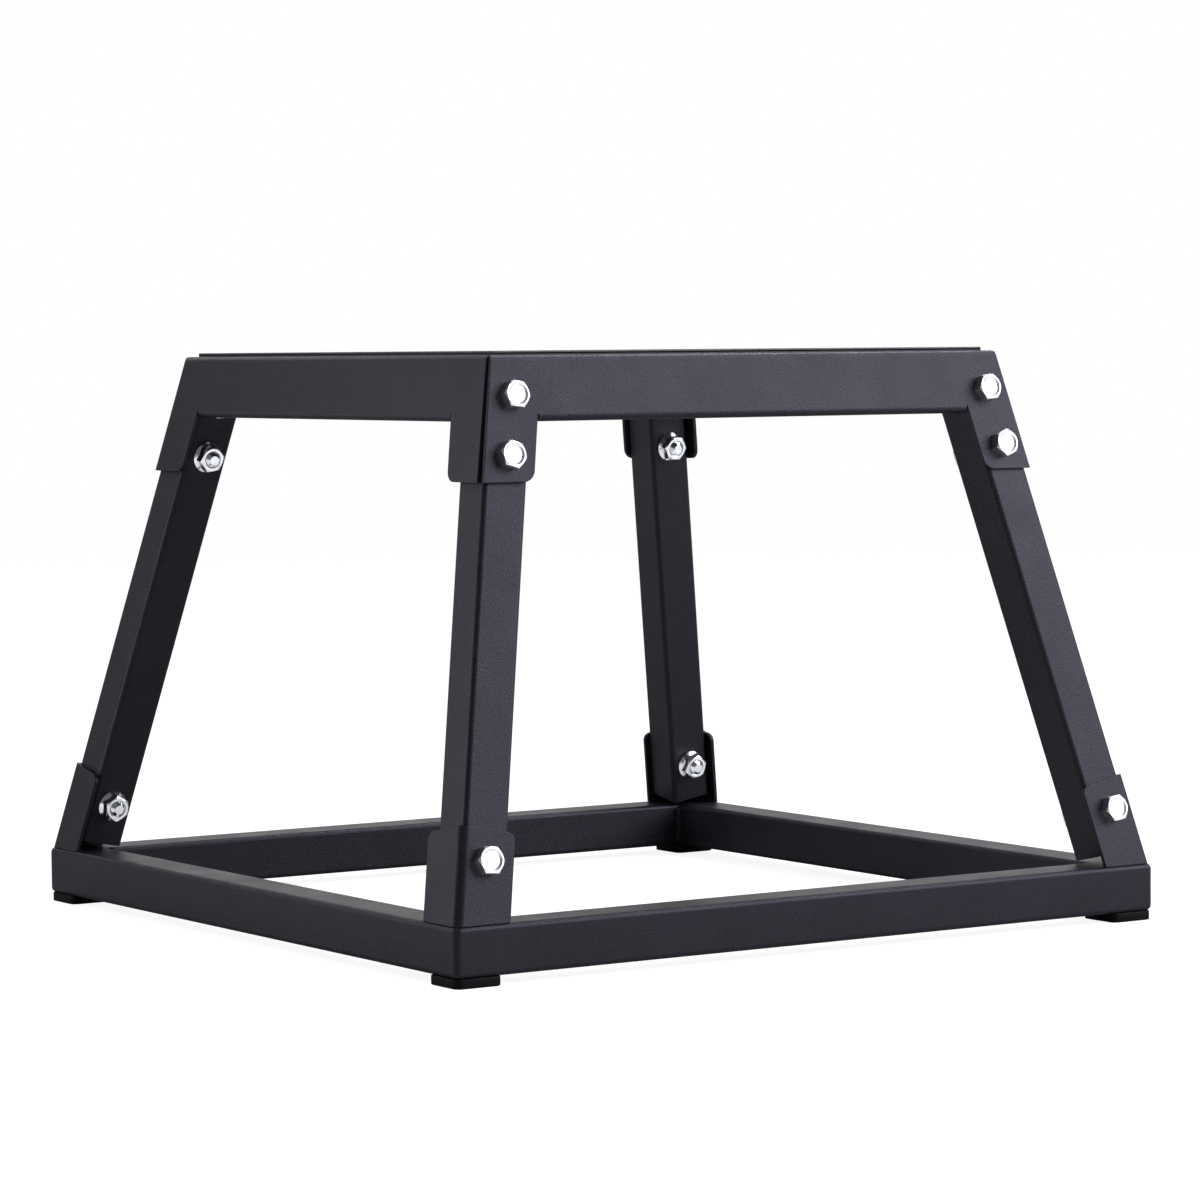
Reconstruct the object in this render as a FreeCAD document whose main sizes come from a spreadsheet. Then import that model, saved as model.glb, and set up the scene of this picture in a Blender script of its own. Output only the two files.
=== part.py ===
"""Steel plyo box: a folded sheet deck on four leaning tube legs, bolted to a welded square base.

The origin is on the floor at the middle of the base, +X runs along the bolted front towards the right,
+Y to the back and +Z up. All sizes are millimetres.
"""
import FreeCAD, Part
import math
import os
import Sketcher

Vector = FreeCAD.Vector

SIZES = {
    # whole object
    "overall_height": 305.0,       # floor to the top of the grip mat
    "base_side": 435.0,            # across the outside of the base rails
    "deck_side": 318.0,            # across the top of the deck, at the bends
    # square tube of the legs and rails
    "tube_side": 25.0,
    "tube_wall": 1.5,
    "tube_edge_radius": 2.5,
    "tube_bore_radius": 1.0,
    "base_corner_radius": 3.5,     # ground-off outer corner of the base
    "leg_top_gap": 2.0,            # leg's highest corner to the underside of the deck plate
    "leg_foot_gap": 0.6,           # leg's lowest corner to the top of the rails
    "leg_side_gap": 0.5,           # leg's outer edge to the unbolted flange beside it
    # folded deck
    "sheet_thickness": 2.0,
    "deck_bend_radius": 3.0,       # outside of the deck's bends
    "skirt_height": 33.0,          # plate to the underside of the hem
    "hem_width": 10.0,             # hem's inner edge to the skirt's outer face
    "hem_end_gap": 0.6,            # hem's end to the tab beside it
    "hem_relief": 0.3,             # how far the slit at the hem's end runs up past the bend
    "corner_slit": 4.0,            # deck's edge to the end of the slit between two flanges
    "tab_depth": 62.5,             # plate to the bottom of the corner tabs
    "bolted_tab_width": 30.5,      # corner line to the tab's inner edge, front and back
    "side_tab_width": 32.5,        # the same on the left and right
    "tab_corner_radius": 7.0,
    "bolted_edge_gap": 1.2,        # corner line to the edge of the front and back flanges
    "side_edge_gap_top": 2.4,      # corner line to the edge of the side flanges, at the plate
    "side_edge_gap_bottom": 4.4,   # the same at the bottom of the tabs
    # grip mat
    "mat_thickness": 2.0,
    "mat_inset": 6.0,              # mat's edge to the edge of the deck
    "rib_pitch": 3.0,
    "rib_height": 0.8,
    "rib_root_width": 1.8,
    "rib_crest_width": 1.2,
    # base brackets, of the same sheet as the deck
    "bracket_inset": 1.0,          # bracket's foot to the outer face of the rails
    "bracket_height": 48.0,        # rail top to the top of the bend
    "bracket_flange": 30.0,
    "bracket_bend_radius": 2.5,    # inside of the bend
    "bracket_corner_radius": 4.0,
    # rubber feet
    "foot_height": 5.0,
    "foot_side": 26.5,
    "foot_inset": 0.5,             # foot's side to the outer face of the rails
    "foot_corner_radius": 4.0,
    "foot_edge_chamfer": 0.6,
    # bolts and flange nuts
    "bolt_diameter": 8.0,
    "bolt_hole_diameter": 9.0,
    "bolt_head_width": 13.0,       # across the flats
    "bolt_head_height": 5.3,
    "bolt_head_chamfer": 0.9,
    "bolt_tip_length": 1.2,        # bolt standing proud of its nut
    "nut_width": 13.0,             # across the flats
    "nut_height": 8.0,
    "nut_bore_diameter": 8.3,
    "nut_flange_diameter": 17.0,
    "nut_flange_edge": 1.0,
    "nut_flange_rise": 2.6,        # bearing face to where the flange's cone meets the flats
    "upper_bolt_drop": 20.0,       # plate to the upper bolt, on the flange
    "lower_bolt_rise": 13.0,       # bottom of the tabs to the lower bolt
    "base_bolt_rise": 30.0,        # rail top to the base bolt, on the bracket
    # weld beads
    "corner_weld_leg": 4.0,
    "bracket_weld_leg": 3.0,
    "bracket_weld_length": 18.0,
    # how far a cut runs past what it cuts
    "overrun": 2.0,
}

PLATE_TOP = "(Sizes.overall_height - Sizes.mat_thickness)"
RAIL_TOP = "(Sizes.foot_height + Sizes.tube_side)"
BRACKET_HALF = "(Sizes.base_side / 2 - Sizes.bracket_inset)"
LEAN = f"(({BRACKET_HALF} - Sizes.deck_side / 2) / ({PLATE_TOP} - {RAIL_TOP}))"
STRETCH = f"sqrt(1 + 2 * {LEAN} ^ 2)"
TILT = f"atan({LEAN})"
HALF_DECK = "(Sizes.deck_side / 2)"
SHEET_RUN = f"(Sizes.sheet_thickness / cos({TILT}))"
# From the plate to the top of the slits at the ends of the hems
HEM_BEND_RISE = f"(Sizes.deck_bend_radius / tan(45 deg - {TILT} / 2) * cos({TILT}))"
SLIT_DROP = f"(Sizes.skirt_height - {HEM_BEND_RISE} - Sizes.hem_relief)"

doc = FreeCAD.newDocument("plyo_box")
sheet = doc.addObject("Spreadsheet::Sheet", "Sizes")
for row, (alias, size) in enumerate(SIZES.items(), start=1):
    sheet.set(f"A{row}", alias)
    sheet.set(f"B{row}", str(size))
    sheet.setAlias(f"B{row}", alias)
doc.recompute()

pieces = []


def number(expression):
    """Value of an expression of the sheet's sizes."""
    value = sheet.evalExpression(expression)
    return float(getattr(value, "Value", value))


def new_body(label):
    body = doc.addObject("PartDesign::Body", label)
    body.Label = label
    return body


def origin_feature(body, role):
    return next(feature for feature in body.Origin.OriginFeatures if feature.Role == role)


def new_sketch(body, name, role, lift="0", tilt="0"):
    """Sketch on an origin plane, lifted along the plane's normal and tilted about the sketch's X axis."""
    sketch = body.newObject("Sketcher::SketchObject", name)
    sketch.AttachmentSupport = [(origin_feature(body, role), "")]
    sketch.MapMode = "FlatFace"
    turn = FreeCAD.Rotation(Vector(1, 0, 0), number(tilt))
    sketch.AttachmentOffset = FreeCAD.Placement(Vector(0, 0, number(lift)), turn)
    sketch.setExpression("AttachmentOffset.Base.z", lift)
    return sketch


def hold(sketch, kind, geometry, point, expression):
    """Dimension of a sketch that follows an expression of the sheet's sizes."""
    index = sketch.addConstraint(Sketcher.Constraint(kind, geometry, point, number(expression)))
    sketch.setExpression(f"Constraints[{index}]", expression)


def outline(sketch, corners):
    """Closed outline of straight lines through corners given as pairs of expressions."""
    spots = [Vector(number(x), number(y), 0) for x, y in corners]
    first = sketch.GeometryCount
    lines = [sketch.addGeometry(Part.LineSegment(a, b)) for a, b in zip(spots, spots[1:] + spots[:1])]
    for line, following in zip(lines, lines[1:] + [first]):
        sketch.addConstraint(Sketcher.Constraint("Coincident", line, 2, following, 1))
    for line, (x, y) in zip(lines, corners):
        hold(sketch, "DistanceX", line, 1, x)
        hold(sketch, "DistanceY", line, 1, y)


def square(sketch, side):
    """Square of a given side about the sketch's origin."""
    half = f"{side} / 2"
    outline(sketch, [(f"-{half}", f"-{half}"), (half, f"-{half}"), (half, half), (f"-{half}", half)])


def hexagon(sketch, width):
    """Regular hexagon of a given width across the flats, with a corner on the sketch's X axis."""
    reach = f"{width} / sqrt(3)"
    outline(sketch, [(f"{reach} * cos({60 * side})", f"{reach} * sin({60 * side})") for side in range(6)])


def circle(sketch, x, y, diameter):
    spot = Vector(number(x), number(y), 0)
    ring = sketch.addGeometry(Part.Circle(spot, Vector(0, 0, 1), number(diameter) / 2))
    hold(sketch, "DistanceX", ring, 3, x)
    hold(sketch, "DistanceY", ring, 3, y)
    index = sketch.addConstraint(Sketcher.Constraint("Diameter", ring, number(diameter)))
    sketch.setExpression(f"Constraints[{index}]", diameter)


def pad(body, sketch, length, reverse=False, both_ways=False):
    feature = body.newObject("PartDesign::Pad", f"{sketch.Name}_pad")
    feature.Profile = sketch
    feature.Reversed = reverse
    feature.SideType = "Symmetric" if both_ways else "One side"
    feature.setExpression("Length", length)
    doc.recompute()
    return feature


def pocket(body, sketch, length, both_ways=False):
    """Straight cut that has to take something off the body."""
    before = body.Shape.Volume
    feature = body.newObject("PartDesign::Pocket", f"{sketch.Name}_cut")
    feature.Profile = sketch
    feature.SideType = "Symmetric" if both_ways else "One side"
    feature.setExpression("Length", length)
    doc.recompute()
    if body.Shape.Volume >= before:
        raise RuntimeError(f"{feature.Name} cuts nothing")
    return feature


def groove(body, sketch):
    """Turned cut about the body's Z axis that has to take something off the body."""
    before = body.Shape.Volume
    feature = body.newObject("PartDesign::Groove", f"{sketch.Name}_cut")
    feature.Profile = sketch
    feature.ReferenceAxis = (origin_feature(body, "Z_Axis"), [""])
    feature.Angle = 360
    doc.recompute()
    if body.Shape.Volume >= before:
        raise RuntimeError(f"{feature.Name} cuts nothing")
    return feature


def edges_where(body, test):
    """Names of the straight edges of a body's tip, in its own frame, whose two ends pass a test."""
    names = []
    for index, edge in enumerate(body.Tip.Shape.Edges, start=1):
        start, end = edge.Vertexes[0].Point, edge.Vertexes[-1].Point
        if near(edge.Length, start.distanceToPoint(end)) and test(start, end):
            names.append(f"Edge{index}")
    return names


def round_edges(body, name, radius, test, count):
    """Fillet on the edges that pass a test, which has to find as many as the piece has."""
    names = edges_where(body, test)
    if len(names) != count:
        raise RuntimeError(f"{name} of {body.Label} finds {len(names)} edges, not {count}")
    feature = body.newObject("PartDesign::Fillet", name)
    feature.Base = (feature.BaseFeature, names)
    feature.setExpression("Radius", radius)
    doc.recompute()
    return feature


def mirrored(body, name, features, role):
    feature = body.newObject("PartDesign::Mirrored", name)
    feature.Originals = features
    feature.MirrorPlane = (origin_feature(body, role), [""])
    body.Tip = feature
    doc.recompute()
    return feature


def near(a, b):
    return abs(a - b) < number("Sizes.overrun") / 1000


def finish(piece):
    pieces.append(piece)
    return piece


# Leaning corners of the box

lean = number(LEAN)
stretch = number(STRETCH)
tilt = math.atan(lean)
CORNERS = {"front_left": (-1, -1), "front_right": (1, -1), "back_left": (-1, 1), "back_right": (1, 1)}


class Corner:
    """Directions at one leaning corner of the box, and places measured along them."""

    def __init__(self, right, back):
        self.rise = Vector(-right * lean, -back * lean, 1) / stretch
        self.out = Vector(0, back * math.cos(tilt), math.sin(tilt))
        across = Vector(right / math.cos(tilt), -back * lean * math.sin(tilt), math.sin(tilt))
        self.across = across / stretch
        self.tip = Vector(right, back, 0) * number(HALF_DECK) + Vector(0, 0, number(PLATE_TOP))

    def on_leg_line(self, height):
        """Point on the bolted flange's outer face, at the leg's middle line and a height above the floor."""
        start = self.tip - self.across * number(LEG_MIDDLE)
        return start + self.rise * ((height - start.z) * stretch)

    def upright(self, place):
        """Placement with Z up the leg and Y into the box, square to the bolted flange."""
        into = self.out * -1
        return FreeCAD.Placement(place, FreeCAD.Rotation(into.cross(self.rise), into, self.rise, "ZYX"))

    def pointing(self, place, way):
        """Placement with Z along the bolt, out of the flange or into the box, and X across the leg."""
        axis = self.out * way
        return FreeCAD.Placement(place, FreeCAD.Rotation(self.across, axis.cross(self.across), axis, "ZXY"))


# From the corner line to the middle of the leg, along the bolted flange and square to the leg
FLANGE_MEET = f"(sin({TILT}) ^ 2)"
LEG_MIDDLE = (
    f"((Sizes.sheet_thickness * (1 - {FLANGE_MEET}) + Sizes.leg_side_gap) / sqrt(1 - {FLANGE_MEET} ^ 2)"
    " + Sizes.tube_side / 2)"
)
# From the leg's axis to its highest corner, in height
LEG_CORNER_RISE = f"(Sizes.tube_side / 2 * sin({TILT}) * (1 + 1 / {STRETCH}))"
LEG_FOOT = f"({RAIL_TOP} + Sizes.leg_foot_gap + {LEG_CORNER_RISE})"
LEG_HEAD = f"({PLATE_TOP} - Sizes.sheet_thickness - Sizes.leg_top_gap - {LEG_CORNER_RISE})"
# The axis lies deeper in the box than the flange, and lower by this much at the same place along the leg
AXIS_DROP = f"((Sizes.sheet_thickness + Sizes.tube_side / 2) * sin({TILT}))"
BOLT_HEIGHTS = {
    "deck_upper": f"({PLATE_TOP} - Sizes.upper_bolt_drop)",
    "deck_lower": f"({PLATE_TOP} - Sizes.tab_depth + Sizes.lower_bolt_rise)",
    "base": f"({RAIL_TOP} + Sizes.base_bolt_rise)",
}


def make_deck():
    """Folded sheet: plate, leaning skirts with hems, tabs, open corners. Local Z is 0 on the plate."""
    body = new_body("top_deck")
    body.setExpression("Placement.Base.z", PLATE_TOP)
    depth = "Sizes.tab_depth"
    low_half = f"({HALF_DECK} + {depth} * {LEAN})"
    top_span = (f"-{HALF_DECK}", HALF_DECK)
    low_span = (f"-{low_half}", low_half)
    lay_wedge(body, "Additive", "leaning_block", ("0", top_span, top_span), (depth, low_span, low_span))
    faces = body.Tip.Shape.Faces
    bottom = min(range(len(faces)), key=lambda index: faces[index].CenterOfMass.z)
    shell = body.newObject("PartDesign::Thickness", "folded_sheet")
    shell.Base = (shell.BaseFeature, [f"Face{bottom + 1}"])
    shell.Reversed = True
    shell.Join = "Intersection"
    shell.setExpression("Value", "Sizes.sheet_thickness")
    doc.recompute()
    round_edges(body, "plate_bends", "Sizes.deck_bend_radius",
                lambda a, b: near(a.z, 0) and near(b.z, 0), 4)
    inner_bend = "(Sizes.deck_bend_radius - Sizes.sheet_thickness)"
    inside = -number("Sizes.sheet_thickness")
    round_edges(body, "plate_bends_inside", inner_bend,
                lambda a, b: near(a.z, inside) or near(b.z, inside), 8)

    faces_across = (("front", "XZ_Plane", "bolted_tab_width"), ("right", "YZ_Plane", "side_tab_width"))
    for side, role, width in faces_across:
        window = new_sketch(body, f"{side}_window", role)
        outline(window, window_corners(f"Sizes.{width}"))
        pocket(body, window, "Sizes.base_side + Sizes.overrun", both_ways=True)
    for name, (right, back) in CORNERS.items():
        open_corner(body, name, right, back)

    for side, role, width in faces_across:
        hem = make_hem(body, side, width)
        mirrored(body, f"{side}_hem_and_its_mirror", [hem], role)
    for name, radius, drop, run in (
        ("hem_bends", "Sizes.deck_bend_radius", "Sizes.skirt_height", "0"),
        ("hem_bends_inside", inner_bend, "(Sizes.skirt_height - Sizes.sheet_thickness)", SHEET_RUN),
    ):
        level, reach = -number(drop), number(f"{HALF_DECK} + {drop} * {LEAN} - {run}")
        round_edges(body, name, radius, lambda a, b: along_skirt(a, b, level, reach), 4)

    holes = new_sketch(body, "bolt_holes", "XZ_Plane", HALF_DECK, f"-{TILT}")
    for height in ("deck_upper", "deck_lower"):
        drop = f"(({PLATE_TOP} - {BOLT_HEIGHTS[height]}) / cos({TILT}))"
        for way in ("-", ""):
            circle(holes, f"{way}{leg_line_offset(height)}", f"-{drop}", "Sizes.bolt_hole_diameter")
    drilled = pocket(body, holes, "Sizes.sheet_thickness + Sizes.overrun")
    mirrored(body, "bolt_holes_and_their_mirror", [drilled], "XZ_Plane")

    low = -number(depth)
    tab_ends = [number(f"{low_half} - Sizes.{width}") for width in ("bolted_tab_width", "side_tab_width")]
    round_edges(body, "tab_corners", "Sizes.tab_corner_radius",
                lambda a, b: any(on_tab_end(a, b, low, axis, end) for axis, end in enumerate(tab_ends)), 8)
    return finish(body)


def leg_line_offset(height):
    """Expression for the distance of the bolts from the bolted face's middle, at a named bolt height."""
    run = f"({HALF_DECK} + ({PLATE_TOP} - {BOLT_HEIGHTS[height]}) * {LEAN})"
    return f"({run} - {LEG_MIDDLE} * {STRETCH} * cos({TILT}))"


def window_corners(width):
    """Opening between two corner tabs, up to the top of the slits at the ends of the hem."""
    inner = f"({HALF_DECK} - {width})"
    half = [(f"({inner} + {drop} * {LEAN})", f"-{drop}")
            for drop in (SLIT_DROP, "(Sizes.tab_depth + Sizes.overrun)")]
    return half + [(f"-{x}", y) for x, y in reversed(half)]


def lay_wedge(body, kind, name, high, low):
    """Block between two level rectangles, each with its depth below the plate and its spans of X and Y."""
    block = body.newObject(f"PartDesign::{kind}Wedge", name)
    block.AttachmentSupport = [(origin_feature(body, "XY_Plane"), "")]
    block.MapMode = "FlatFace"
    block.AttachmentOffset = FreeCAD.Placement(Vector(), FreeCAD.Rotation(Vector(1, 0, 0), -90))
    for end, suffix, (depth, x_span, y_span) in (("min", "", high), ("max", "2", low)):
        block.setExpression(f"Y{end}", depth)
        for axis, span in (("X", x_span), ("Z", y_span)):
            block.setExpression(f"{axis}{suffix}min", span[0])
            block.setExpression(f"{axis}{suffix}max", span[1])
    doc.recompute()


def open_corner(body, name, right, back):
    """Gap between two flanges: the bolted flange runs past the side one, whose edge draws back."""
    side_cut, bolted_cut = [], []
    for depth, side_gap in (
        ("-Sizes.overrun", "Sizes.side_edge_gap_top"),
        ("(Sizes.tab_depth + Sizes.overrun)", "Sizes.side_edge_gap_bottom"),
    ):
        reach = f"({HALF_DECK} + {depth} * {LEAN})"
        past = f"({reach} + Sizes.overrun)"
        side_edge = f"({reach} - {side_gap})"
        behind = f"({reach} - {SHEET_RUN})"
        slit_end = f"({reach} - Sizes.corner_slit)"
        bolted_edge = f"({reach} - Sizes.bolted_edge_gap)"
        side_cut.append((depth, span(right, slit_end, past), span(back, side_edge, behind)))
        bolted_cut.append((depth, span(right, bolted_edge, past), span(back, side_edge, past)))
    lay_wedge(body, "Subtractive", f"{name}_side_gap", *side_cut)
    lay_wedge(body, "Subtractive", f"{name}_bolted_gap", *bolted_cut)


def span(sign, near_end, far_end):
    """Span of one axis between two distances from the middle, on the side that the sign gives."""
    return (near_end, far_end) if sign > 0 else (f"-{far_end}", f"-{near_end}")


def make_hem(body, side, width):
    """Lower edge of a skirt, with the lip that is folded inwards."""
    role = {"front": "YZ_Plane", "right": "XZ_Plane"}[side]
    way = {"front": "-", "right": ""}[side]
    sketch = new_sketch(body, f"{side}_hem", role)
    skirt = "Sizes.skirt_height"
    lip_top = "(Sizes.skirt_height - Sizes.sheet_thickness)"
    outer = f"({HALF_DECK} + {skirt} * {LEAN})"
    outline(sketch, [
        (f"{way}({HALF_DECK} + {SLIT_DROP} * {LEAN})", f"-{SLIT_DROP}"),
        (f"{way}{outer}", f"-{skirt}"),
        (f"{way}({outer} - Sizes.hem_width)", f"-{skirt}"),
        (f"{way}({outer} - Sizes.hem_width)", f"-{lip_top}"),
        (f"{way}({HALF_DECK} + {lip_top} * {LEAN} - {SHEET_RUN})", f"-{lip_top}"),
        (f"{way}({HALF_DECK} + {SLIT_DROP} * {LEAN} - {SHEET_RUN})", f"-{SLIT_DROP}"),
    ])
    length = f"2 * ({HALF_DECK} + {SLIT_DROP} * {LEAN} - Sizes.{width} - Sizes.hem_end_gap)"
    return pad(body, sketch, length, both_ways=True)


def along_skirt(a, b, level, reach):
    """Whether an edge runs past the middle of a skirt, at a level and a distance from the deck's middle."""
    on_skirt = any(near(abs(a[axis]), reach) and near(a[axis], b[axis]) and a[1 - axis] * b[1 - axis] < 0
                   for axis in (0, 1))
    return near(a.z, level) and near(b.z, level) and on_skirt


def on_tab_end(a, b, low, axis, end):
    """Whether an edge runs through the sheet at the lower inner corner of a tab."""
    return near(a.z, low) and near(b.z, low) and all(near(abs(spot[axis]), end) for spot in (a, b))


def make_leg(name, corner):
    """Leaning leg, cut square at both ends and drilled for its bolts. Local Z runs up the leg."""
    body = new_body(f"leg_{name}")
    section = new_sketch(body, f"{name}_leg_section", "XY_Plane")
    square(section, "Sizes.tube_side")
    square(section, "(Sizes.tube_side - 2 * Sizes.tube_wall)")
    pad(body, section, f"({LEG_HEAD} - {LEG_FOOT}) * {STRETCH}")
    half = number("Sizes.tube_side / 2")
    bore = number("Sizes.tube_side / 2 - Sizes.tube_wall")
    round_edges(body, f"{name}_leg_edges", "Sizes.tube_edge_radius",
                lambda a, b: not near(a.z, b.z) and near(abs(a.x), half), 4)
    round_edges(body, f"{name}_leg_bore_edges", "Sizes.tube_bore_radius",
                lambda a, b: not near(a.z, b.z) and near(abs(a.x), bore) and near(abs(a.y), bore), 4)
    holes = new_sketch(body, f"{name}_leg_holes", "XZ_Plane")
    for height in BOLT_HEIGHTS.values():
        along = f"(({height} - {AXIS_DROP} - {LEG_FOOT}) * {STRETCH})"
        circle(holes, "0", along, "Sizes.bolt_hole_diameter")
    pocket(body, holes, "Sizes.tube_side + Sizes.overrun", both_ways=True)
    on_flange = corner.on_leg_line(number(f"{LEG_FOOT} + {AXIS_DROP}"))
    depth = number("Sizes.sheet_thickness + Sizes.tube_side / 2")
    body.Placement = corner.upright(on_flange - corner.out * depth)
    return finish(body)


def make_rail(side, turn):
    """Base rail along local X with mitred ends and its outer face towards local -Y, turned to its side."""
    body = new_body(f"base_rail_{side}")
    section = new_sketch(body, f"{side}_rail_section", "YZ_Plane")
    outer = "(Sizes.base_side / 2)"
    inner = f"({outer} - Sizes.tube_side)"
    low = "Sizes.foot_height"
    levels = ((outer, low), (inner, low), (inner, RAIL_TOP), (outer, RAIL_TOP))
    outline(section, [(f"-{y}", z) for y, z in levels])
    pad(body, section, "Sizes.base_side", both_ways=True)
    half = number(outer)
    round_edges(body, f"{side}_rail_edges", "Sizes.tube_edge_radius",
                lambda a, b: near(abs(a.x), half) and near(abs(b.x), half) and not near(a.x, b.x), 4)
    round_edges(body, f"{side}_rail_corners", "Sizes.base_corner_radius",
                lambda a, b: near(a.x, b.x) and all(near(abs(v), half) for v in (a.x, a.y, b.y)), 2)
    mitres = new_sketch(body, f"{side}_rail_mitres", "XY_Plane", low)
    far = f"({outer} + Sizes.overrun)"
    near_end = f"({inner} - Sizes.overrun)"
    for way in ("-", ""):
        wedge = [(far, far), (far, near_end), (near_end, near_end)]
        outline(mitres, [(f"{way}{x}", f"-{y}") for x, y in wedge])
    pocket(body, mitres, "2 * (Sizes.tube_side + Sizes.overrun)", both_ways=True)
    bore = new_sketch(body, f"{side}_rail_bore", "YZ_Plane")
    wall = "Sizes.tube_wall"
    outline(bore, [
        (f"(-{outer} + {wall})", f"({low} + {wall})"),
        (f"(-{inner} - {wall})", f"({low} + {wall})"),
        (f"(-{inner} - {wall})", f"({RAIL_TOP} - {wall})"),
        (f"(-{outer} + {wall})", f"({RAIL_TOP} - {wall})"),
    ])
    pocket(body, bore, "Sizes.base_side + Sizes.overrun", both_ways=True)
    body.Placement = FreeCAD.Placement(Vector(), FreeCAD.Rotation(Vector(0, 0, 1), turn))
    return finish(body)


def make_bracket(name, right, back):
    """Bent plate that leans with its leg: square to the leg at the top, cut level to stand on the rails."""
    corner = Corner(right, back)
    body = new_body(f"bent_plate_{name}")
    section = new_sketch(body, f"{name}_bracket_section", "XY_Plane")
    # The bolted flange runs along local X, and the side flange stands a little wider than square to it.
    way = right * back
    flange = "Sizes.bracket_flange"
    thick = "Sizes.sheet_thickness"
    wide = f"(90 deg + asin({FLANGE_MEET}))"
    inner_bend = f"({way} * {thick} * (1 + cos({wide})) / sin({wide}))"
    outline(section, [
        ("0", "0"),
        (f"({way} * {flange})", "0"),
        (f"({way} * {flange})", thick),
        (inner_bend, thick),
        (f"({way} * ({flange} * cos({wide}) + {thick} * sin({wide})))",
         f"({flange} * sin({wide}) - {thick} * cos({wide}))"),
        (f"({way} * {flange} * cos({wide}))", f"({flange} * sin({wide}))"),
    ])
    pad(body, section, f"Sizes.bracket_height * {STRETCH} + Sizes.overrun", reverse=True)
    round_edges(body, f"{name}_bracket_outer_bend", f"Sizes.bracket_bend_radius + {thick}",
                lambda a, b: not near(a.z, b.z) and near(a.x, 0) and near(a.y, 0), 1)
    inner_x, inner_y = number(inner_bend), number(thick)
    round_edges(body, f"{name}_bracket_inner_bend", "Sizes.bracket_bend_radius",
                lambda a, b: not near(a.z, b.z) and near(a.x, inner_x) and near(a.y, inner_y), 1)
    round_edges(body, f"{name}_bracket_corners", "Sizes.bracket_corner_radius",
                lambda a, b: near(a.z, 0) and near(b.z, 0) and near(a.distanceToPoint(b), inner_y), 2)
    hole = new_sketch(body, f"{name}_bracket_hole", "XZ_Plane")
    drop = f"((Sizes.bracket_height - Sizes.base_bolt_rise) * {STRETCH} - {LEG_MIDDLE} * sin({TILT}))"
    circle(hole, f"({way} * {LEG_MIDDLE})", f"-{drop}", "Sizes.bolt_hole_diameter")
    pocket(body, hole, "2 * (Sizes.sheet_thickness + Sizes.overrun)", both_ways=True)
    top = number(f"{RAIL_TOP} + Sizes.bracket_height")
    body.Placement = corner.upright(corner.tip + corner.rise * ((top - corner.tip.z) * stretch))
    block = doc.addObject("Part::Box", f"{name}_below_rail_top")
    for edge in ("Length", "Width"):
        block.setExpression(edge, "2 * Sizes.base_side")
    block.setExpression("Height", RAIL_TOP)
    for axis in ("x", "y"):
        block.setExpression(f"Placement.Base.{axis}", "-Sizes.base_side")
    level = doc.addObject("Part::Cut", f"bracket_{name}")
    level.Label = f"bracket_{name}"
    level.Base = body
    level.Tool = block
    doc.recompute()
    return finish(level)


def make_foot(name, right, back):
    """Rubber pad under a corner of the base."""
    body = new_body(f"foot_{name}")
    section = new_sketch(body, f"{name}_foot_section", "XY_Plane")
    square(section, "Sizes.foot_side")
    pad(body, section, "Sizes.foot_height")
    round_edges(body, f"{name}_foot_corners", "Sizes.foot_corner_radius",
                lambda a, b: not near(a.z, b.z), 4)
    faces = body.Tip.Shape.Faces
    bottom = min(range(len(faces)), key=lambda index: faces[index].CenterOfMass.z)
    edge = body.newObject("PartDesign::Chamfer", f"{name}_foot_edge")
    edge.Base = (edge.BaseFeature, [f"Face{bottom + 1}"])
    edge.setExpression("Size", "Sizes.foot_edge_chamfer")
    place = "(Sizes.base_side / 2 - Sizes.foot_inset - Sizes.foot_side / 2)"
    body.setExpression("Placement.Base.x", f"{right} * {place}")
    body.setExpression("Placement.Base.y", f"{back} * {place}")
    doc.recompute()
    return finish(body)


def make_mat():
    """Rubber mat stuck to the deck, with fine ribs along X. Local Z is 0 on the deck."""
    body = new_body("grip_mat")
    body.setExpression("Placement.Base.z", PLATE_TOP)
    side = "(Sizes.deck_side - 2 * Sizes.mat_inset)"
    web = "(Sizes.mat_thickness - Sizes.rib_height)"
    backing = new_sketch(body, "mat_backing", "XY_Plane")
    square(backing, side)
    pad(body, backing, web)
    rib = new_sketch(body, "mat_rib", "YZ_Plane")
    middle = f"(-{side} / 2 + Sizes.rib_root_width / 2)"
    outline(rib, [
        (f"({middle} - Sizes.rib_root_width / 2)", web),
        (f"({middle} + Sizes.rib_root_width / 2)", web),
        (f"({middle} + Sizes.rib_crest_width / 2)", "Sizes.mat_thickness"),
        (f"({middle} - Sizes.rib_crest_width / 2)", "Sizes.mat_thickness"),
    ])
    first_rib = pad(body, rib, side, both_ways=True)
    ribs = body.newObject("PartDesign::LinearPattern", "mat_ribs")
    ribs.Originals = [first_rib]
    ribs.Direction = (origin_feature(body, "Y_Axis"), [""])
    ribs.setExpression("Length", f"{side} - Sizes.rib_root_width")
    ribs.setExpression("Occurrences", f"2 * floor({side} / Sizes.rib_pitch / 2) + 1")
    body.Tip = ribs
    doc.recompute()
    return finish(body)


def make_bolt():
    """Hex bolt with its bearing face at local Z 0, the head above it and the plain shank below."""
    body = new_body("hex_bolt")
    flats = new_sketch(body, "bolt_head", "XY_Plane")
    hexagon(flats, "Sizes.bolt_head_width")
    pad(body, flats, "Sizes.bolt_head_height")
    shank = new_sketch(body, "bolt_shank", "XY_Plane")
    circle(shank, "0", "0", "Sizes.bolt_diameter")
    length = "(Sizes.sheet_thickness + Sizes.tube_side + Sizes.nut_height + Sizes.bolt_tip_length)"
    pad(body, shank, length, reverse=True)
    chamfer_head(body, "bolt_head_edge", "Sizes.bolt_head_width", "Sizes.bolt_head_height",
                 "Sizes.bolt_head_chamfer")
    return body


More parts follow.
